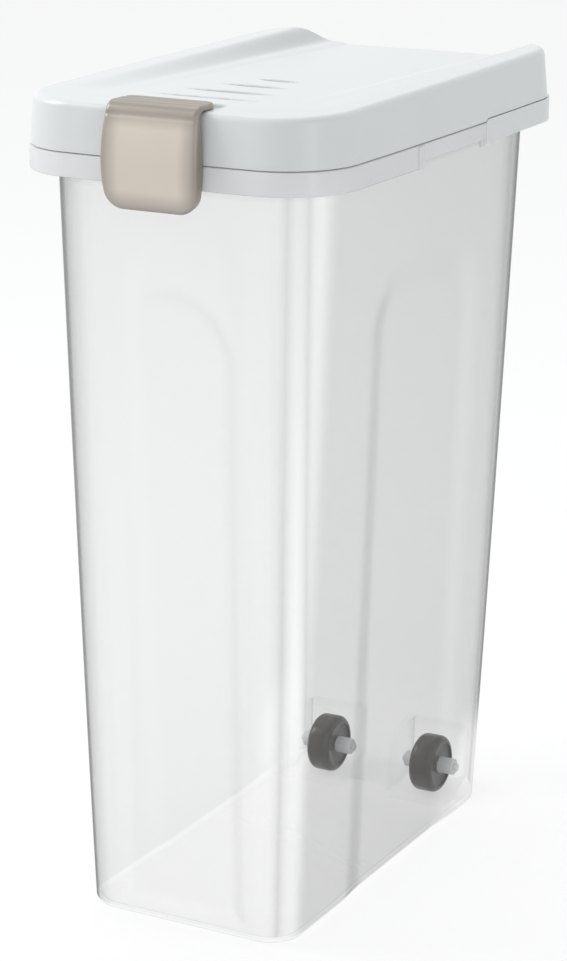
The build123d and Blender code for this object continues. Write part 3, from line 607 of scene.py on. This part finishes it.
def moulded_plastic(name, colour, roughness, mottle=0.04, grain=0.05):
    """A moulded plastic with faint cloudy colour and a fine skin texture."""
    material = bpy.data.materials.new(name)
    material.use_nodes = True
    tree = material.node_tree
    shader = tree.nodes["Principled BSDF"]
    place = tree.nodes.new("ShaderNodeTexCoord")
    clouds = tree.nodes.new("ShaderNodeTexNoise")
    clouds.inputs["Scale"].default_value = 14.0
    clouds.inputs["Detail"].default_value = 3.0
    tree.links.new(place.outputs["Object"], clouds.inputs["Vector"])
    ramp = tree.nodes.new("ShaderNodeValToRGB")
    ramp.color_ramp.elements[0].position = 0.3
    ramp.color_ramp.elements[1].position = 0.7
    ramp.color_ramp.elements[0].color = (*[c * (1 - mottle) for c in colour], 1.0)
    ramp.color_ramp.elements[1].color = (*colour, 1.0)
    tree.links.new(clouds.outputs["Fac"], ramp.inputs["Fac"])
    tree.links.new(ramp.outputs["Color"], shader.inputs["Base Color"])
    skin = tree.nodes.new("ShaderNodeTexNoise")
    skin.inputs["Scale"].default_value = 900.0
    skin.inputs["Detail"].default_value = 2.0
    tree.links.new(place.outputs["Object"], skin.inputs["Vector"])
    bump = tree.nodes.new("ShaderNodeBump")
    bump.inputs["Strength"].default_value = grain
    bump.inputs["Distance"].default_value = 0.0002
    tree.links.new(skin.outputs["Fac"], bump.inputs["Height"])
    tree.links.new(bump.outputs["Normal"], shader.inputs["Normal"])
    rough_range = tree.nodes.new("ShaderNodeMapRange")
    rough_range.inputs["To Min"].default_value = roughness - 0.05
    rough_range.inputs["To Max"].default_value = roughness + 0.05
    tree.links.new(clouds.outputs["Fac"], rough_range.inputs["Value"])
    tree.links.new(rough_range.outputs["Result"], shader.inputs["Roughness"])
    return material


wheel_material = moulded_plastic("wheel_plastic", (0.055, 0.048, 0.04), 0.24, mottle=0.12)
axle_material = moulded_plastic("axle_plastic", (0.86, 0.87, 0.875), 0.4)
hub_radius = 6.5
shoulder = 5.0
half_section = [
    (21.0, 3.06), (21.0, 6.1), (20.6, hub_radius), (8.6, hub_radius),
    (8.4, 7.2), (8.4, 16.6), (8.8, 17.4), (9.9, 17.6),
]
for angle in np.radians(np.linspace(0, 90, 9)):
    half_section.append((shoulder + shoulder * math.cos(angle), 18.0 + shoulder * math.sin(angle)))
section = half_section + [(-x, radius) for x, radius in reversed(half_section)]
turns = np.linspace(0, 2 * math.pi, 97)[:-1]
for side_name, wheel_x in (("left", -46.0), ("right", 46.0)):
    wheel_rows = []
    for x, radius in section:
        y = wheel_y + radius * np.cos(turns)
        wheel_rows.append(np.stack((
            np.full(len(turns), wheel_x + x), y, wheel_z + radius * np.sin(turns),
        ), axis=1))
    roller = skin_over("roller", wheel_rows, ends="joined")
    finish_skin(roller, f"roller_{side_name}", wheel_material, angle=40.0)
    roller.data.materials.append(axle_material)
    for face in roller.data.polygons:
        _, face_y, face_z = face.center * 1000
        from_axle = math.hypot(face_y - wheel_y, face_z - wheel_z)
        face.material_index = 1 if from_axle < hub_radius + 0.3 else 0
    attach(roller, f"wheel_{side_name}")
    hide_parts(f"wheel_{side_name}")
    axle_node = nodes[f"axle_{side_name}"]
    axle_node.data.materials.clear()
    axle_node.data.materials.append(axle_material)

# Lid: an opaque cool-white moulding with a leaning skirt, a sunken deck between two side rails,
# four finger grooves and a pocket for the latch. Under the deck a channel holds the seal,
# and two arms at the back turn on the hinge pins.
lid_foot_z = 560.0
lid_lean = math.tan(math.radians(5.0))
lid_wall = 2.5
groove_depth = 2.0
groove_half_width = 6.0
grooves = ((-135, 46), (-100.5, 38), (-66, 28), (-31.5, 18))
hinge_y = 210.0
hinge_z = 556.0


def lid_skirt_points(inset):
    """Points round the lid, moved in from its lower edge by an inset for each point."""
    x0, y0 = rounded_outline(249.6, 404.0, 50.0, 2.8, 0.0)
    x1, y1 = rounded_outline(229.6, 384.0, 40.0, 2.8, 0.0)
    return x0 + (x1 - x0) * inset / 10, y0 + (y1 - y0) * inset / 10


def lid_height(x, y, carved):
    """The height of the lid's top: rails, the sunken deck and what is pressed into it."""
    crest = 596.3 + 0.009 * y
    sink = (1.6 + 0.032 * (y + 150)) * soft_step((y + 168) / 40)
    across = np.abs(x)
    flank = 0.13 * soft_step((across - 61) / 9) + 0.87 * soft_step((across - 75) / 27)
    top = crest - np.maximum(sink, 0) * (1 - flank)
    if carved:
        for groove_y, half_length in grooves:
            half_width = groove_half_width * np.clip(1 - (x / half_length) ** 2, 0.001, 1)
            off = (y - groove_y) / half_width
            ramp = np.clip((off + 1) / 1.5, 0, 1) * np.clip((1 - off) / 0.5, 0, 1)
            fade = np.clip(half_width / 3, 0, 1) * (across < half_length)
            top = top - groove_depth * soft_step(ramp) * fade
        slot_end = np.maximum(across - 26.0, 0)
        pocket = np.hypot(slot_end, y + 174.5) - 10.0
        top = top - 1.7 * soft_step((0.6 - pocket) / 2.2)
    return top


def lid_skin_rows(wall, low_z, edge, rings, carved):
    """Loops from the lid's lower edge over its rounded upper edge to the middle of the deck."""
    x, y = lid_skirt_points(wall + 8.0)
    for _ in range(2):
        top = lid_height(x, y, False) - wall
        edge_inset = wall + (top - edge - lid_foot_z) * lid_lean + edge
        x, y = lid_skirt_points(edge_inset)
    loops = []
    if wall == 0:
        x, y = lid_skirt_points(0.5)
        loops.append(loop_at(x, y, low_z))
        low_z += 0.5
    for share in np.linspace(0, 1, 7):
        z = low_z + share * (top - edge - low_z)
        x, y = lid_skirt_points(wall + (z - lid_foot_z) * lid_lean)
        loops.append(loop_at(x, y, z))
    for angle in np.radians(np.linspace(0, 90, 9))[1:]:
        x, y = lid_skirt_points(edge_inset - edge * math.cos(angle))
        loops.append(loop_at(x, y, top - edge + edge * math.sin(angle)))
    for share in np.linspace(0, 0.985, rings)[1:]:
        ring_x = x * (1 - share)
        ring_y = y * (1 - share)
        loops.append(loop_at(ring_x, ring_y, lid_height(ring_x, ring_y, carved) - wall))
    return loops


lid_shell = skin_over("lid_shell", lid_skin_rows(0, lid_foot_z, 5.5, 150, True))
lid_inside = skin_over("lid_inside", lid_skin_rows(lid_wall, 555.0, 3.2, 50, False))
combine(lid_shell, lid_inside, "DIFFERENCE")


def mouth_points(outwards):
    """Points along the tub's top edge, moved outwards from the middle of its wall."""
    return tub_row(568.0, tub_wall / 2 - outwards)


channel_rows = []
for outwards, height in (
    (4.5, 566.35), (4.5, 574.35), (-4.5, 574.35), (-4.5, 566.35),
    (-2.5, 566.35), (-2.5, 572.35), (2.5, 572.35), (2.5, 566.35),
):
    channel_rows.append(loop_at(*mouth_points(outwards), height))
channel = skin_over("channel", channel_rows, ends="joined")
web_rows = []
for outwards, from_deck in ((1.0, False), (1.0, True), (-1.0, True), (-1.0, False)):
    x, y = mouth_points(outwards)
    web_rows.append(loop_at(x, y, lid_height(x, y, False) - 1.3 if from_deck else 573.4))
combine(channel, skin_over("web", web_rows, ends="joined"), "UNION")
combine(lid_shell, channel, "UNION")
rear_step = [(47.2, 550.0), (47.2, 560.0), (50.9, 562.1), (404.0, 562.1), (404.0, 550.0)]
combine(lid_shell, bar(rear_step, -150, 150), "DIFFERENCE")
arm_web = [
    (199.1, 578.1), (199.1, 562.3), (204.1, 562.3),
    (204.5, hinge_z), (215.5, hinge_z), (214.3, 565.0),
]
arm_stop = [(212.39, 549.42), (214.0, 555.0), (212.0, 552.5)]
for arm_profile in (arm_web, disc(hinge_y, hinge_z, 5.5), arm_stop):
    on_both_sides(lid_shell, arm_profile, 43.4, 62.6, "UNION")
on_both_sides(lid_shell, disc(hinge_y, hinge_z, 2.56), 40.0, 66.0, "DIFFERENCE")


def multiplied_colour(material):
    """Puts a multiplying mix before a material's colour, and returns the tree and the mix."""
    tree = material.node_tree
    base_colour = tree.nodes["Principled BSDF"].inputs["Base Color"]
    blend = tree.nodes.new("ShaderNodeMix")
    blend.data_type = "RGBA"
    blend.blend_type = "MULTIPLY"
    tree.links.new(base_colour.links[0].from_socket, blend.inputs[6])
    tree.links.new(blend.outputs[2], base_colour)
    return tree, blend


lid_material = moulded_plastic(
    "white_lid_plastic", (0.785, 0.81, 0.805), 0.3, mottle=0.015, grain=0.04,
)
lid_tree, lid_shade_blend = multiplied_colour(lid_material)
# Painted shade: where the stored number is high, the lid's colour is multiplied towards this grey.
lid_shade_blend.inputs[7].default_value = (0.48, 0.50, 0.50, 1.0)
lid_tree.links.new(stored_number(lid_tree, "painted_hollow_shade"), lid_shade_blend.inputs[0])
finish_skin(lid_shell, "lid_moulding", lid_material, angle=30.0)
# Less light reaches the grooves, the latch pocket and the foot of each rail.
spots = vertex_vectors(lid_shell, "co") * 1000
leans = vertex_vectors(lid_shell, "normal")
x, y, heights = spots.T
carved_depth = lid_height(x, y, False) - lid_height(x, y, True)
rail_foot_shade = soft_step((np.abs(x) - 74) / 8) * soft_step((104 - np.abs(x)) / 10)
rail_foot_shade = rail_foot_shade * np.clip((y + 150) / 300, 0, 1)
on_deck = (heights > 586) & (np.abs(x) < 106) & (leans[:, 2] > 0.2)
painted_hollow_shade = np.clip(np.clip(carved_depth / 1.4, 0, 1) + 0.42 * rail_foot_shade, 0, 1)
store_on_vertices(lid_shell, "painted_hollow_shade", np.where(on_deck, painted_hollow_shade, 0))
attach(lid_shell, "lid")
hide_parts("lid")

# Seal: a soft pale ring with a crowned lower face, pressed into the channel under the lid.
# A small profile follows the mouth of the tub, which closes against it.
seal_path = bpy.data.curves.new("seal_path", "CURVE")
seal_path.dimensions = "3D"
seal_line = seal_path.splines.new("POLY")
path_x, path_y = mouth_points(0.0)
seal_line.points.add(len(path_x) - 1)
for point, x, y in zip(seal_line.points, path_x, path_y):
    point.co = (x * 0.001, y * 0.001, 0.5703, 1.0)
seal_line.use_cyclic_u = True
seal_source = bpy.data.objects.new("seal_source", seal_path)
bpy.context.scene.collection.objects.link(seal_source)
seal_material = moulded_plastic("seal_rubber", (0.55, 0.56, 0.56), 0.6, grain=0.12)
seal_tree = bpy.data.node_groups.new("seal_sweep", "GeometryNodeTree")
seal_tree.interface.new_socket("Geometry", in_out="INPUT", socket_type="NodeSocketGeometry")
seal_width_socket = seal_tree.interface.new_socket(
    "Seal width", in_out="INPUT", socket_type="NodeSocketFloat",
)
seal_height_socket = seal_tree.interface.new_socket(
    "Seal height", in_out="INPUT", socket_type="NodeSocketFloat",
)
seal_tree.interface.new_socket("Geometry", in_out="OUTPUT", socket_type="NodeSocketGeometry")
seal_in = seal_tree.nodes.new("NodeGroupInput")
seal_out = seal_tree.nodes.new("NodeGroupOutput")
seal_section = seal_tree.nodes.new("GeometryNodeCurvePrimitiveQuadrilateral")
seal_tree.links.new(seal_in.outputs["Seal width"], seal_section.inputs["Width"])
seal_tree.links.new(seal_in.outputs["Seal height"], seal_section.inputs["Height"])
seal_round = seal_tree.nodes.new("GeometryNodeFilletCurve")
seal_round.mode = "POLY"
seal_round.inputs["Count"].default_value = 4
seal_round.inputs["Radius"].default_value = 0.0011
seal_tree.links.new(seal_section.outputs["Curve"], seal_round.inputs["Curve"])
seal_sweep = seal_tree.nodes.new("GeometryNodeCurveToMesh")
seal_tree.links.new(seal_in.outputs["Geometry"], seal_sweep.inputs["Curve"])
seal_tree.links.new(seal_round.outputs["Curve"], seal_sweep.inputs["Profile Curve"])
seal_real = seal_tree.nodes.new("GeometryNodeRealizeInstances")
seal_tree.links.new(seal_sweep.outputs["Mesh"], seal_real.inputs["Geometry"])
seal_paint = seal_tree.nodes.new("GeometryNodeSetMaterial")
seal_paint.inputs["Material"].default_value = seal_material
seal_tree.links.new(seal_real.outputs["Geometry"], seal_paint.inputs["Geometry"])
seal_tree.links.new(seal_paint.outputs["Geometry"], seal_out.inputs["Geometry"])
seal_maker = seal_source.modifiers.new("seal_sweep", "NODES")
seal_maker.node_group = seal_tree
seal_maker[seal_width_socket.identifier] = 0.0049
seal_maker[seal_height_socket.identifier] = 0.0038
seal_seen = seal_source.evaluated_get(bpy.context.evaluated_depsgraph_get())
seal_mesh = bpy.data.meshes.new_from_object(seal_seen)
seal_source.modifiers.clear()
bpy.data.objects.remove(seal_source)
seal = bpy.data.objects.new("seal_ring", seal_mesh)
bpy.context.scene.collection.objects.link(seal)
finish_skin(seal, "seal_ring", seal_material, angle=50.0)
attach(seal, "lid")
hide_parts("lid_seal")

# Rear collar and pins: the collar is the same white plastic as the lid and clips round the back of
# the rim. Its ears carry the two short steel pins of the lid, and a longer pin carries the latch.
nodes["rear_collar"].data.materials.clear()
nodes["rear_collar"].data.materials.append(lid_material)
pin_material = moulded_plastic("pin_steel", (0.6, 0.6, 0.6), 0.3)
pin_material.node_tree.nodes["Principled BSDF"].inputs["Metallic"].default_value = 1.0
for pin_name in ("hinge_pin_left", "hinge_pin_right", "latch_pin"):
    nodes[pin_name].data.materials.clear()
    nodes[pin_name].data.materials.append(pin_material)

# Latch: a pearly taupe moulding with soft edges that turn back towards the tub.
# Its lip hooks over the lid, and two knuckles behind it turn on the latch pin.


def arc_points(first, middle_point, last, steps):
    """Points along the circular arc through three (y, z) points, without the first."""
    (ax, ay), (bx, by), (cx, cy) = first, middle_point, last
    d = 2 * (ax * (by - cy) + bx * (cy - ay) + cx * (ay - by))
    a2, b2, c2 = ax * ax + ay * ay, bx * bx + by * by, cx * cx + cy * cy
    mx = (a2 * (by - cy) + b2 * (cy - ay) + c2 * (ay - by)) / d
    my = (a2 * (cx - bx) + b2 * (ax - cx) + c2 * (bx - ax)) / d
    radius = math.hypot(ax - mx, ay - my)
    start = math.atan2(ay - my, ax - mx)
    turn = (math.atan2(cy - my, cx - mx) - start + math.pi) % (2 * math.pi) - math.pi
    angles = [start + turn * k / steps for k in range(1, steps + 1)]
    return [(mx + radius * math.cos(angle), my + radius * math.sin(angle)) for angle in angles]


lip_steps = 24
bend_steps = 24
latch_line = [(-177.5 - 19.0 * k / lip_steps, 598.6) for k in range(lip_steps + 1)]
latch_line += arc_points((-196.5, 598.6), (-204.5, 596.3), (-207.7, 590.2), bend_steps)
latch_line += arc_points((-207.7, 590.2), (-212.5, 555.0), (-209.3, 526.5), 80)
latch_line = np.array(latch_line)
latch_steps = np.hypot(*np.diff(latch_line, axis=0).T)
latch_run = np.concatenate(([0.0], np.cumsum(latch_steps)))
latch_length = latch_run[-1]
crease_run = latch_run[lip_steps + bend_steps]
lip_corner = 11.0
low_corner = 12.0
edge_round = 3.0


def latch_spot(run):
    """The (y, z) point and the outward direction at a distance from the lip's rear edge."""
    ahead = np.clip(run + 1.2, 0, latch_length)
    behind = np.clip(run - 1.2, 0, latch_length)
    y, z = (np.interp(run, latch_run, line) for line in latch_line.T)
    along_y, along_z = (
        np.interp(ahead, latch_run, line) - np.interp(behind, latch_run, line)
        for line in latch_line.T
    )
    size = np.hypot(along_y, along_z)
    return y, z, along_z / size, -along_y / size


def latch_half_width(run, z):
    """Half the latch's width at a distance along it, with round corners at both ends."""
    lift = (z - 559.0) / 32.5
    full = 37.0 - np.where(lift < 0, 3.5 * lift ** 2, 1.5 * np.clip(lift, 0, 1) ** 2)
    rear = np.clip(lip_corner - run, 0, lip_corner)
    low = np.clip(run - latch_length + low_corner, 0, low_corner)
    rear_cut = lip_corner - np.sqrt(lip_corner ** 2 - rear ** 2)
    low_cut = low_corner - np.sqrt(low_corner ** 2 - low ** 2)
    return full - rear_cut - low_cut, full


def latch_sheet(depth, moved_in, rounded):
    """A grid of points over the latch at a depth below its outer face."""
    across = np.sin(np.linspace(-1, 1, 61) * math.pi / 2)
    runs = moved_in + (latch_length - 2 * moved_in) * (1 - np.cos(np.linspace(0, math.pi, 151))) / 2
    y, z, out_y, out_z = latch_spot(runs)
    half, full = latch_half_width(runs, z)
    u, run = np.meshgrid(across, runs)
    x = u * np.maximum(half - moved_in, 1.0)[:, None]
    if rounded:
        side_room = full[:, None] - np.abs(x)
        room = np.minimum(run, latch_length - run)
        for corner, over in (
            (lip_corner, np.maximum(lip_corner - run, 0)),
            (low_corner, np.maximum(run - latch_length + low_corner, 0)),
        ):
            round_room = corner - np.hypot(corner - side_room, over)
            in_round = (side_room < corner) & (over > 0)
            room = np.minimum(room, np.where(in_round, round_room, side_room))
        tight = np.clip(edge_round - room, 0, edge_round)
        sunk = edge_round - np.sqrt(edge_round ** 2 - tight ** 2)
        for groove_run in (8.0, 15.0):
            sunk = sunk + 0.55 * np.exp(-((run - groove_run) / 0.7) ** 2)
        sunk = sunk - 0.5 * soft_step((9 - np.abs(run - 4.0) * 3) / 6)
        sunk = sunk + 0.5 * np.exp(-((run - crease_run) / 1.1) ** 2)
        depth = np.maximum(sunk, 0)
    else:
        depth = np.full(x.shape, depth)
    py = y[:, None] - out_y[:, None] * depth
    pz = z[:, None] - out_z[:, None] * depth
    return np.stack((x, py, pz), axis=2), y, z, out_y, out_z


def edge_walk(grid):
    """The outer loop of a grid of points, once round."""
    return np.concatenate((grid[0, :-1], grid[:-1, -1], grid[-1, :0:-1], grid[:0:-1, 0]))


outer_face, spot_y, spot_z, spot_out_y, spot_out_z = latch_sheet(0, 0.0, True)
plain_face = latch_sheet(0.0, 0.0, False)[0]
inner_face = latch_sheet(3.0, 2.6, False)[0]
reach = np.where(
    spot_z < 591.5,
    np.clip((-203.1 - spot_y) / np.maximum(-spot_out_y, 0.5), 3.1, 12.0),
    3.1,
)
reach = np.convolve(np.pad(reach, 4, mode="edge"), np.ones(9) / 9, mode="valid")
turn_back = np.stack((np.zeros(len(reach)), -spot_out_y * reach, -spot_out_z * reach), axis=1)
lip_edge = edge_walk(plain_face + turn_back[:, None, :])
inset_face = latch_sheet(0.0, 2.6, False)[0]
foot_edge = edge_walk(inset_face + turn_back[:, None, :])
row_count, column_count = outer_face.shape[:2]
face_points = row_count * column_count
latch_points = np.concatenate((
    outer_face.reshape(-1, 3), inner_face.reshape(-1, 3), lip_edge, foot_edge,
))
index = np.arange(face_points).reshape(row_count, column_count)
latch_faces = []
for shift, flip in ((0, 1), (face_points, -1)):
    for i in range(row_count - 1):
        for j in range(column_count - 1):
            quad = (index[i, j], index[i, j + 1], index[i + 1, j + 1], index[i + 1, j])
            latch_faces.append(tuple(int(k) + shift for k in quad[::flip]))
walk_outer = edge_walk(index[:, :, None])[:, 0]
walk_inner = walk_outer + face_points
walk_lip = np.arange(len(walk_outer)) + 2 * face_points
walk_foot = walk_lip + len(walk_outer)
for one, two in ((walk_outer, walk_lip), (walk_lip, walk_foot), (walk_foot, walk_inner)):
    for k in range(len(one)):
        m = (k + 1) % len(one)
        latch_faces.append((int(one[k]), int(one[m]), int(two[m]), int(two[k])))
latch = closed_piece("latch_plate", latch_points, latch_faces)
knuckle = [(-210.2, 541.6)]
for angle in np.linspace(math.pi / 2, -math.pi / 2, 21):
    knuckle.append((
        latch_pin_y + ear_radius * math.cos(angle), latch_pin_z + ear_radius * math.sin(angle),
    ))
knuckle.append((-210.2, 532.4))
on_both_sides(latch, knuckle, 18.3, 24.7, "UNION")
catch = side_box(-180.6, -178.0, 593.4, 596.2)
combine(latch, bar(catch, -24, 24, edge=0.4), "UNION")
combine(latch, bar(disc(latch_pin_y, latch_pin_z, 2.06), -30, 30), "DIFFERENCE")
latch_material = moulded_plastic(
    "pearl_latch_plastic", (0.72, 0.65, 0.565), 0.36, mottle=0.05, grain=0.08,
)
latch_tree, latch_shade_blend = multiplied_colour(latch_material)
latch_tree.nodes["Principled BSDF"].inputs["Metallic"].default_value = 0.35
# Painted shade: the colour is multiplied by a number stored on the vertices, lower towards the
# edges.
latch_shade_blend.inputs[0].default_value = 1.0
latch_tree.links.new(stored_number(latch_tree, "painted_edge_shade"), latch_shade_blend.inputs[7])
finish_skin(latch, "latch_moulding", latch_material, angle=40.0)
# Painted shade: the colour is lighter in the middle of the face, darker towards its sides and lower
# end, and darkest over the top bend and the lip.
x, _, heights = (vertex_vectors(latch, "co") * 1000).T
side_room = np.clip((36.5 - np.abs(x)) / 14, 0, 1)
low_room = np.clip((heights - 526.5) / 14, 0, 1)
top_room = np.clip((594 - heights) / 12, 0, 1)
store_on_vertices(latch, "painted_edge_shade", 0.45 + 0.55 * (side_room * low_room * top_room) ** 0.8)
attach(latch, "latch")
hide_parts("front_latch")
